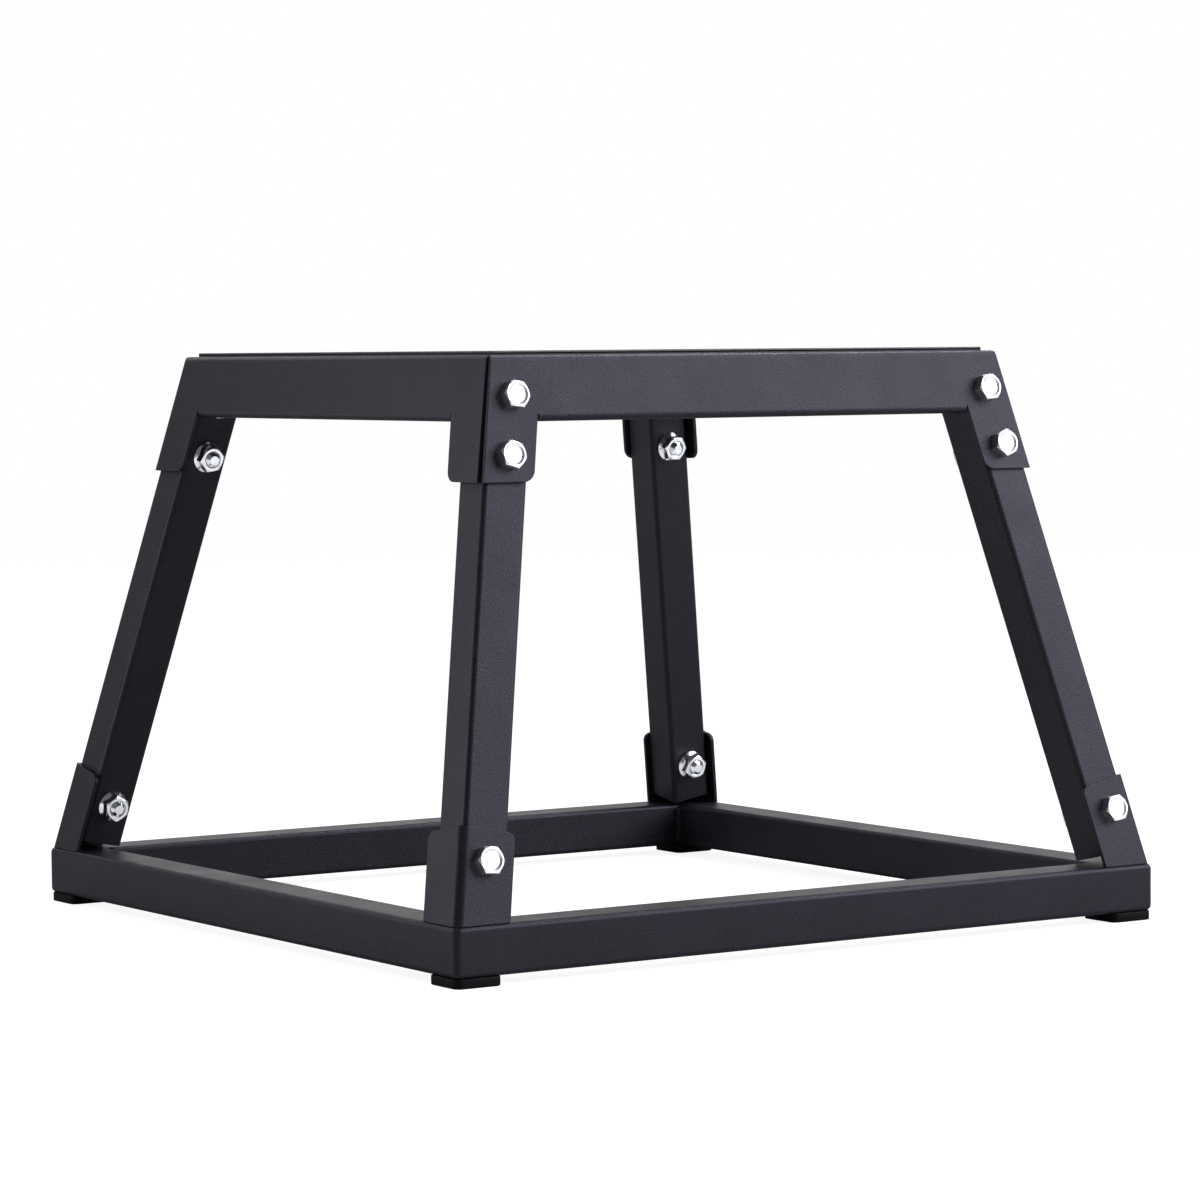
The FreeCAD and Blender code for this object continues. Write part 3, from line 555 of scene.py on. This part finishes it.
def powder_coat(finishes):
    """Fine-textured black powder coat: pebbled skin, slight mottling and uneven gloss."""
    finish, tree, shader, coords = new_finish("powder_coat_finish")
    mottle = noise(tree, coords, *COAT_MOTTLE)
    pebble = noise(tree, coords, *COAT_PEBBLE)
    grain = noise(tree, coords, *COAT_GRAIN)
    tone = combine(tree, "ADD", combine(tree, "MULTIPLY", mottle, COAT_MOTTLE_SHARE),
                   combine(tree, "MULTIPLY", pebble, COAT_PEBBLE_SHARE))
    share = spread(tree, tone, 0.0, 1.0, *COAT_TONES)
    tree.links.new(tint(tree, share, finishes.coat, finishes.coat_light), shader.inputs["Base Color"])
    low, high = (finishes.coat_roughness + stray for stray in COAT_STRAY)
    tree.links.new(spread(tree, mottle, low, high), shader.inputs["Roughness"])
    shader.inputs["Specular IOR Level"].default_value = finishes.coat_gloss
    shader.inputs["Specular Tint"].default_value = COAT_SHEEN
    height = combine(tree, "ADD", pebble, combine(tree, "MULTIPLY", grain, COAT_GRAIN_SHARE))
    relief(tree, shader, height, *COAT_RELIEF, eased_edge=COAT_EDGE)
    return finish


def zinc(finishes):
    """Bright zinc plating: faint clouding, fine drawn texture, uneven gloss and duller flats."""
    finish, tree, shader, coords = new_finish("zinc_finish")
    cloud = noise(tree, coords, *ZINC_CLOUD)
    grain = noise(tree, coords, *ZINC_GRAIN)
    share = spread(tree, cloud, 0.0, 1.0)
    tree.links.new(tint(tree, share, finishes.zinc, finishes.zinc_dull), shader.inputs["Base Color"])
    shader.inputs["Metallic"].default_value = 1.0
    flats = tree.nodes.new("ShaderNodeAttribute")
    flats.attribute_name = FLATS
    dull = combine(tree, "MULTIPLY", flats.outputs["Fac"], FLATS_DULL)
    rough = combine(tree, "ADD", spread(tree, cloud, *ZINC_ROUGHNESS), dull)
    tree.links.new(rough, shader.inputs["Roughness"])
    relief(tree, shader, grain, *ZINC_RELIEF, eased_edge=ZINC_EDGE)
    return finish


def rubber(name, base, roughness, gloss, grain):
    """Matt black rubber with a moulded grain and a little dust."""
    finish, tree, shader, coords = new_finish(name)
    dust = noise(tree, coords, *RUBBER_DUST)
    dusty = tuple(min(1.0, channel * DUST_GAIN + DUST_LIFT) for channel in base)
    share = spread(tree, dust, 0.0, 1.0, *DUST_RANGE)
    tree.links.new(tint(tree, share, base, dusty), shader.inputs["Base Color"])
    low, high = (roughness + stray for stray in RUBBER_STRAY)
    tree.links.new(spread(tree, dust, low, high), shader.inputs["Roughness"])
    shader.inputs["Specular IOR Level"].default_value = gloss
    relief(tree, shader, noise(tree, coords, *grain), *RUBBER_RELIEF)
    return finish


# Pieces

class PLYO_OT_coat_frame(Operator):
    """Powder coat on the deck, legs, rails and brackets"""
    bl_idname = "plyo_box.coat_frame"
    bl_label = "Coat the frame"

    def execute(self, context):
        finish = powder_coat(context.scene.plyo_finishes)
        for name in COATED_NODES:
            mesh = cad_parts[name].data
            mesh.materials.clear()
            mesh.materials.append(finish)
        return {"FINISHED"}


class PLYO_OT_grip_mat(Operator):
    """Ribbed rubber mat on the deck"""
    bl_idname = "plyo_box.grip_mat"
    bl_label = "Grip mat"

    def execute(self, context):
        sizes = context.scene.plyo_sizes
        finishes = context.scene.plyo_finishes
        side = MAT_HIGH[0] - MAT_LOW[0]
        bm = bmesh.new()
        block(bm, (side, side, sizes.mat_web), (0, 0, MAT_LOW[2] + sizes.mat_web / 2))
        rib = bmesh.new()
        height = MAT_HIGH[2] - MAT_LOW[2] - sizes.mat_web / 2
        block(rib, (side, sizes.mat_rib, height), (0, 0, 0))
        crest = [edge for edge in rib.edges if all(vert.co.z > 0 for vert in edge.verts)
                 and abs(edge.verts[0].co.x - edge.verts[1].co.x) > side / 2]
        round_edges(rib, crest, sizes.mat_rib * RIB_CREST, RIB_SEGMENTS)
        step = (side - sizes.mat_rib) / (sizes.mat_ribs - 1)
        level = MAT_HIGH[2] - height / 2
        first = -side / 2 + sizes.mat_rib / 2
        rows = range(sizes.mat_ribs)
        placed(bm, rib, [Matrix.Translation((0, first + step * row, level)) for row in rows])
        finish = rubber("mat_rubber_finish", finishes.mat, finishes.mat_roughness, finishes.mat_gloss,
                        MAT_GRAIN)
        settle(new_piece("ribbed_mat", bm, finish), "mat_rubber", "grip_mat")
        return {"FINISHED"}


class PLYO_OT_hex_bolts(Operator):
    """Hex bolts through the deck tabs, legs and brackets"""
    bl_idname = "plyo_box.hex_bolts"
    bl_label = "Hex bolts"

    def execute(self, context):
        sizes = context.scene.plyo_sizes
        finish = zinc(context.scene.plyo_finishes)
        for row in BOLT_ROWS:
            bm = bmesh.new()
            for turn, signs in zip(HEAD_TURNS[row], CORNERS.values()):
                corner = LeaningCorner(sizes, *signs)
                spot = corner.on_flange(row_height(sizes, row))
                placed(bm, self.bolt(sizes), [corner.placement(spot, 1, turn)])
            node = NODE_OF_ROW[row].format("bolts")
            settle(new_piece(f"hex_bolts_{row}", bm, finish, HARDWARE_SHARP), "zinc_hardware", node)
        return {"FINISHED"}

    def bolt(self, sizes):
        """Bolt with its bearing face at height 0: head with a round dish above, threaded shank below."""
        bm = bmesh.new()
        top = sizes.head_height
        face = sizes.head_width * HEAD_FACE
        ring = hexagon_ring(bm, sizes.head_width, 0.0, HEAD_EASE)
        ring = next_ring(bm, ring, height=top)
        lower_corners(ring, top, face)
        mark_flats(bm)
        for share, depth in HEAD_RINGS:
            ring = next_ring(bm, ring, face * share, top - depth)
        bmesh.ops.contextual_create(bm, geom=ring)
        turned(bm, self.shank(sizes))
        return bm

    def shank(self, sizes):
        """Outline of the shank, from the middle of its end to its middle inside the head."""
        end = -(sizes.sheet + sizes.tube + sizes.nut_height + sizes.bolt_tip)
        outer = sizes.bolt_diameter / 2
        pitch = sizes.thread_pitch
        root = outer - pitch * THREAD_DEPTH
        outline = [(0.0, end), (root * END_SHARE, end), (root, end + END_CHAMFER)]
        for turn in range(THREAD_TURNS):
            start = end + END_CHAMFER + pitch * turn
            outline.append((outer, start + pitch * CREST_START))
            outline.append((outer, start + pitch * CREST_END))
            outline.append((root, start + pitch))
        outline.append((outer, outline[-1][1] + pitch * THREAD_RUN_OUT))
        return outline + [(outer, HEAD_LAP), (0.0, HEAD_LAP)]


class PLYO_OT_flange_nuts(Operator):
    """Flange nuts on the inner faces of the legs"""
    bl_idname = "plyo_box.flange_nuts"
    bl_label = "Flange nuts"

    def execute(self, context):
        sizes = context.scene.plyo_sizes
        finish = zinc(context.scene.plyo_finishes)
        for row in BOLT_ROWS:
            bm = bmesh.new()
            for turn, signs in zip(NUT_TURNS[row], CORNERS.values()):
                corner = LeaningCorner(sizes, *signs)
                grip = corner.out * (sizes.sheet + sizes.tube)
                spot = corner.on_flange(row_height(sizes, row)) - grip
                placed(bm, self.nut(sizes), [corner.placement(spot, -1, turn)])
            node = NODE_OF_ROW[row].format("nuts")
            settle(new_piece(f"flange_nuts_{row}", bm, finish, HARDWARE_SHARP), "zinc_hardware", node)
        return {"FINISHED"}

    def nut(self, sizes):
        """Nut with its bearing face at height 0, a coned flange and a countersunk bore."""
        bm = bmesh.new()
        top = sizes.nut_height
        width = sizes.head_width
        face = width * NUT_FACE
        bore = sizes.bolt_diameter / 2 + NUT_PLAY
        ring = hexagon_ring(bm, width, FLANGE_RIM, NUT_EASE)
        ring = next_ring(bm, ring, height=top)
        lower_corners(ring, top, face)
        for radius, depth in ((face, 0.0), (bore + NUT_SINK, 0.0), (bore, NUT_SINK), (bore, NUT_BORE)):
            ring = next_ring(bm, ring, radius, top - depth)
        bmesh.ops.contextual_create(bm, geom=ring)
        rim = sizes.nut_flange / 2
        turned(bm, [(0.0, 0.0), (rim - FLANGE_EASE, 0.0), (rim, FLANGE_EASE),
                    (rim, FLANGE_RIM - FLANGE_EASE), (rim - FLANGE_EASE, FLANGE_RIM),
                    (width / 2, FLANGE_TOP), (0.0, FLANGE_TOP)], FLANGE_STEPS)
        return bm


class PLYO_OT_rubber_feet(Operator):
    """Rubber pads under the corners of the base"""
    bl_idname = "plyo_box.rubber_feet"
    bl_label = "Rubber feet"

    def execute(self, context):
        sizes = context.scene.plyo_sizes
        finishes = context.scene.plyo_finishes
        finish = rubber("foot_rubber_finish", finishes.foot, finishes.foot_roughness, finishes.foot_gloss,
                        FOOT_GRAIN)
        for name in CORNERS:
            low, high = (Vector(corner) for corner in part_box(f"foot_{name}"))
            bm = bmesh.new()
            block(bm, high - low, (low + high) / 2)
            uprights = [edge for edge in bm.edges if rise_of(edge) > LEVEL]
            round_edges(bm, uprights, sizes.foot_round, FOOT_CORNER_SEGMENTS)
            rims = [edge for edge in bm.edges if rise_of(edge) < LEVEL]
            round_edges(bm, rims, FOOT_RIM, FOOT_RIM_SEGMENTS)
            clean_normals(bm)
            settle(new_piece(f"rubber_foot_{name}", bm, finish), "foot_rubber", f"foot_{name}")
        return {"FINISHED"}


class PLYO_OT_weld_beads(Operator):
    """Rippled weld beads in the corners of the base and behind the brackets"""
    bl_idname = "plyo_box.weld_beads"
    bl_label = "Weld beads"

    def execute(self, context):
        sizes = context.scene.plyo_sizes
        finish = powder_coat(context.scene.plyo_finishes)
        beads = self.corner_beads(sizes)
        settle(new_piece("corner_beads", beads, finish, BEAD_SHARP), "powder_coat", "base_corner_welds")
        beads = self.bracket_beads(sizes)
        settle(new_piece("bracket_beads", beads, finish, BEAD_SHARP), "powder_coat", "bracket_welds")
        return {"FINISHED"}

    def corner_beads(self, sizes):
        """Upright beads in the inner corners of the base."""
        bm = bmesh.new()
        leg = sizes.corner_bead
        inner = sizes.base_side / 2 - sizes.tube - leg * BEAD_OFF_FACE
        low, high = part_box("base_corner_welds")
        bottom = low[2] + leg * BEAD_BARE_END
        rise = high[2] - low[2] - 2 * leg * BEAD_BARE_END
        for right, back in CORNERS.values():
            turn = Matrix.Rotation(math.atan2(back, right), 4, "Z")
            for drop in range(BEAD_DROPS):
                level = bottom + rise * drop / (BEAD_DROPS - 1)
                place = Matrix.Translation((right * inner, back * inner, level))
                weld_drop(bm, place @ turn, leg, CORNER_DROP, CORNER_DROP_STEPS)
        return bm

    def bracket_beads(self, sizes):
        """Level beads on the rails, inside the feet of the brackets."""
        bm = bmesh.new()
        leg = sizes.bracket_bead
        face = sizes.base_side / 2 - sizes.bracket_inset - sizes.sheet
        middle = face - sizes.sheet - BRACKET_BEAD_MIDDLE
        inward = -face + leg * BEAD_OFF_FACE
        level = sizes.rail_top + leg * BEAD_OFF_RAIL
        lean = Matrix.Rotation(math.pi / 4, 4, "X")
        for quarter in range(4):
            side = Matrix.Rotation(math.pi / 2 * quarter, 4, "Z")
            for way in (-1, 1):
                start = way * middle - BRACKET_BEAD_HALF
                for drop in range(BEAD_DROPS):
                    along = start + 2 * BRACKET_BEAD_HALF * drop / (BEAD_DROPS - 1)
                    place = Matrix.Translation((along, inward, level))
                    weld_drop(bm, side @ place @ lean, leg, BRACKET_DROP, BRACKET_DROP_STEPS)
        return bm


class PLYO_OT_studio(Operator):
    """Pale floor, soft light and the camera"""
    bl_idname = "plyo_box.studio"
    bl_label = "Studio"

    def execute(self, context):
        studio = context.scene.plyo_studio
        context.scene.view_settings.view_transform = "Standard"
        self.floor(studio)
        self.world(studio)
        for name, (place, size, watts) in SOFTBOXES.items():
            self.softbox(name, place, size, getattr(studio, watts), studio.key_colour)
        self.floor_card(studio)
        self.camera(studio)
        return {"FINISHED"}

    def floor(self, studio):
        """Matt floor that glows white to the eye, and in reflections far behind the box."""
        bm = bmesh.new()
        bmesh.ops.create_grid(bm, x_segments=1, y_segments=1, size=FLOOR_HALF)
        finish = bpy.data.materials.get("pale_floor") or bpy.data.materials.new("pale_floor")
        tree = empty_tree(finish)
        out = tree.nodes.new("ShaderNodeOutputMaterial")
        matt = tree.nodes.new("ShaderNodeBsdfDiffuse")
        glow = tree.nodes.new("ShaderNodeEmission")
        glow.inputs["Color"].default_value = (*studio.background, 1.0)
        place = tree.nodes.new("ShaderNodeTexCoord").outputs["Object"]
        backdrop = towards_backdrop(tree, place)
        # Pale floor colour, darkened towards the backdrop as painted shade of the floor behind and under
        # the box
        tree.links.new(spread(tree, backdrop, *FLOOR_SHADED_TONE), matt.inputs["Color"])
        behind = spread(tree, backdrop, *FLOOR_MIRRORED)
        tree.links.new(seen_strength(tree, FLOOR_GLOW, behind), glow.inputs["Strength"])
        both = tree.nodes.new("ShaderNodeAddShader")
        tree.links.new(matt.outputs["BSDF"], both.inputs[0])
        tree.links.new(glow.outputs["Emission"], both.inputs[1])
        tree.links.new(both.outputs["Shader"], out.inputs["Surface"])
        new_piece("pale_floor", bm, finish)

    def world(self, studio):
        """White to the eye, a backdrop in a dim room to reflections, and a soft sky for the light."""
        world = bpy.data.worlds.get("studio_sky") or bpy.data.worlds.new("studio_sky")
        bpy.context.scene.world = world
        tree = empty_tree(world)
        out = tree.nodes.new("ShaderNodeOutputWorld")
        seen = tree.nodes.new("ShaderNodeBackground")
        seen.inputs["Color"].default_value = (*studio.background, 1.0)
        way = tree.nodes.new("ShaderNodeTexCoord").outputs["Generated"]
        behind = spread(tree, towards_backdrop(tree, way), *WORLD_MIRRORED)
        tree.links.new(seen_strength(tree, WORLD_GLOW, behind), seen.inputs["Strength"])
        light = tree.nodes.new("ShaderNodeBackground")
        light.inputs["Color"].default_value = SKY_TINT
        light.inputs["Strength"].default_value = studio.sky
        mix = tree.nodes.new("ShaderNodeMixShader")
        tree.links.new(seen_as_background(tree), mix.inputs["Fac"])
        tree.links.new(light.outputs["Background"], mix.inputs[1])
        tree.links.new(seen.outputs["Background"], mix.inputs[2])
        tree.links.new(mix.outputs["Shader"], out.inputs["Surface"])

    def softbox(self, name, place, size, watts, light):
        """Rectangular lamp that faces the middle of the box."""
        remove_old(name)
        lamp = bpy.data.lights.new(name, "AREA")
        lamp.shape = "RECTANGLE"
        lamp.size, lamp.size_y = size
        lamp.energy = watts
        lamp.color = light
        holder = bpy.data.objects.new(name, lamp)
        holder.visible_camera = False
        holder.location = place
        aim = Vector(LAMP_AIM) - Vector(place)
        holder.rotation_euler = aim.to_track_quat("-Z", "Y").to_euler()
        bpy.context.scene.collection.objects.link(holder)
        return holder

    def floor_card(self, studio):
        """White card that lies on the floor, faces up and shines on the plated bolts and nuts alone."""
        card = self.softbox("floor_card", CARD_PLACE, CARD_SIZE, studio.card_power, studio.background)
        card.rotation_euler = (math.pi, 0.0, 0.0)
        plated = bpy.data.collections.get("plated") or bpy.data.collections.new("plated")
        for name in (f"{piece}_{row}" for piece in PLATED for row in BOLT_ROWS):
            if name not in plated.objects:
                plated.objects.link(bpy.data.objects[name])
        card.light_linking.receiver_collection = plated

    def camera(self, studio):
        """Camera of the photo, turned by yaw, pitch and roll."""
        remove_old("studio_camera")
        lens = bpy.data.cameras.new("studio_camera")
        lens.lens = studio.lens
        lens.sensor_width = SENSOR
        camera = bpy.data.objects.new("studio_camera", lens)
        yaw, pitch, roll = studio.yaw, studio.pitch, studio.roll
        flat = math.cos(pitch)
        sight = Vector((math.sin(yaw) * flat, math.cos(yaw) * flat, math.sin(pitch)))
        level = Vector((math.cos(yaw), -math.sin(yaw), 0))
        upright = level.cross(sight)
        right = math.cos(roll) * level + math.sin(roll) * upright
        up = math.cos(roll) * upright - math.sin(roll) * level
        turn = Matrix((right, up, -sight)).transposed().to_4x4()
        camera.matrix_world = Matrix.Translation(studio.camera_place) @ turn
        bpy.context.scene.collection.objects.link(camera)
        bpy.context.scene.camera = camera


def seen_as_background(tree):
    """1 for rays from the camera, and for reflected and refracted ones."""
    path = tree.nodes.new("ShaderNodeLightPath").outputs
    mirrored = combine(tree, "MAXIMUM", path["Is Glossy Ray"], path["Is Transmission Ray"])
    return combine(tree, "MAXIMUM", path["Is Camera Ray"], mirrored)


def seen_strength(tree, direct, mirrored):
    """Strength of the background to the eye and through glass, and another one in reflections."""
    path = tree.nodes.new("ShaderNodeLightPath").outputs
    eye = combine(tree, "MAXIMUM", path["Is Camera Ray"], path["Is Transmission Ray"])
    gloss = combine(tree, "MULTIPLY", path["Is Glossy Ray"], mirrored)
    return combine(tree, "ADD", combine(tree, "MULTIPLY", eye, direct), gloss)


def towards_backdrop(tree, vector):
    """How far a place or a direction lies towards the backdrop, which stands opposite the camera."""
    dot = tree.nodes.new("ShaderNodeVectorMath")
    dot.operation = "DOT_PRODUCT"
    tree.links.new(vector, dot.inputs[0])
    dot.inputs[1].default_value = BACKDROP_WAY
    return dot.outputs["Value"]


class PLYO_PT_panel(Panel):
    """Sizes, finishes and steps of the plyo box"""
    bl_idname = "PLYO_PT_panel"
    bl_label = "Plyo Box"
    bl_space_type = "VIEW_3D"
    bl_region_type = "UI"
    bl_category = "Plyo Box"

    def draw(self, context):
        for group in (context.scene.plyo_sizes, context.scene.plyo_finishes, context.scene.plyo_studio):
            box = self.layout.box()
            for name in group.__annotations__:
                box.prop(group, name)
        for operator in STEPS:
            self.layout.operator(operator.bl_idname)


STEPS = (PLYO_OT_coat_frame, PLYO_OT_grip_mat, PLYO_OT_hex_bolts, PLYO_OT_flange_nuts,
         PLYO_OT_rubber_feet, PLYO_OT_weld_beads, PLYO_OT_studio)
GROUPS = {"plyo_sizes": PlyoBoxSizes, "plyo_finishes": PlyoBoxFinishes, "plyo_studio": PlyoBoxStudio}


def register():
    for cls in (*GROUPS.values(), *STEPS, PLYO_PT_panel):
        bpy.utils.register_class(cls)
    for name, group in GROUPS.items():
        setattr(bpy.types.Scene, name, PointerProperty(type=group))


def unregister():
    for name in GROUPS:
        delattr(bpy.types.Scene, name)
    for cls in reversed((*GROUPS.values(), *STEPS, PLYO_PT_panel)):
        bpy.utils.unregister_class(cls)


def main():
    register()
    bpy.ops.plyo_box.coat_frame()
    bpy.ops.plyo_box.grip_mat()
    bpy.ops.plyo_box.hex_bolts()
    bpy.ops.plyo_box.flange_nuts()
    bpy.ops.plyo_box.rubber_feet()
    bpy.ops.plyo_box.weld_beads()
    bpy.ops.plyo_box.studio()


if __name__ == "__main__":
    main()
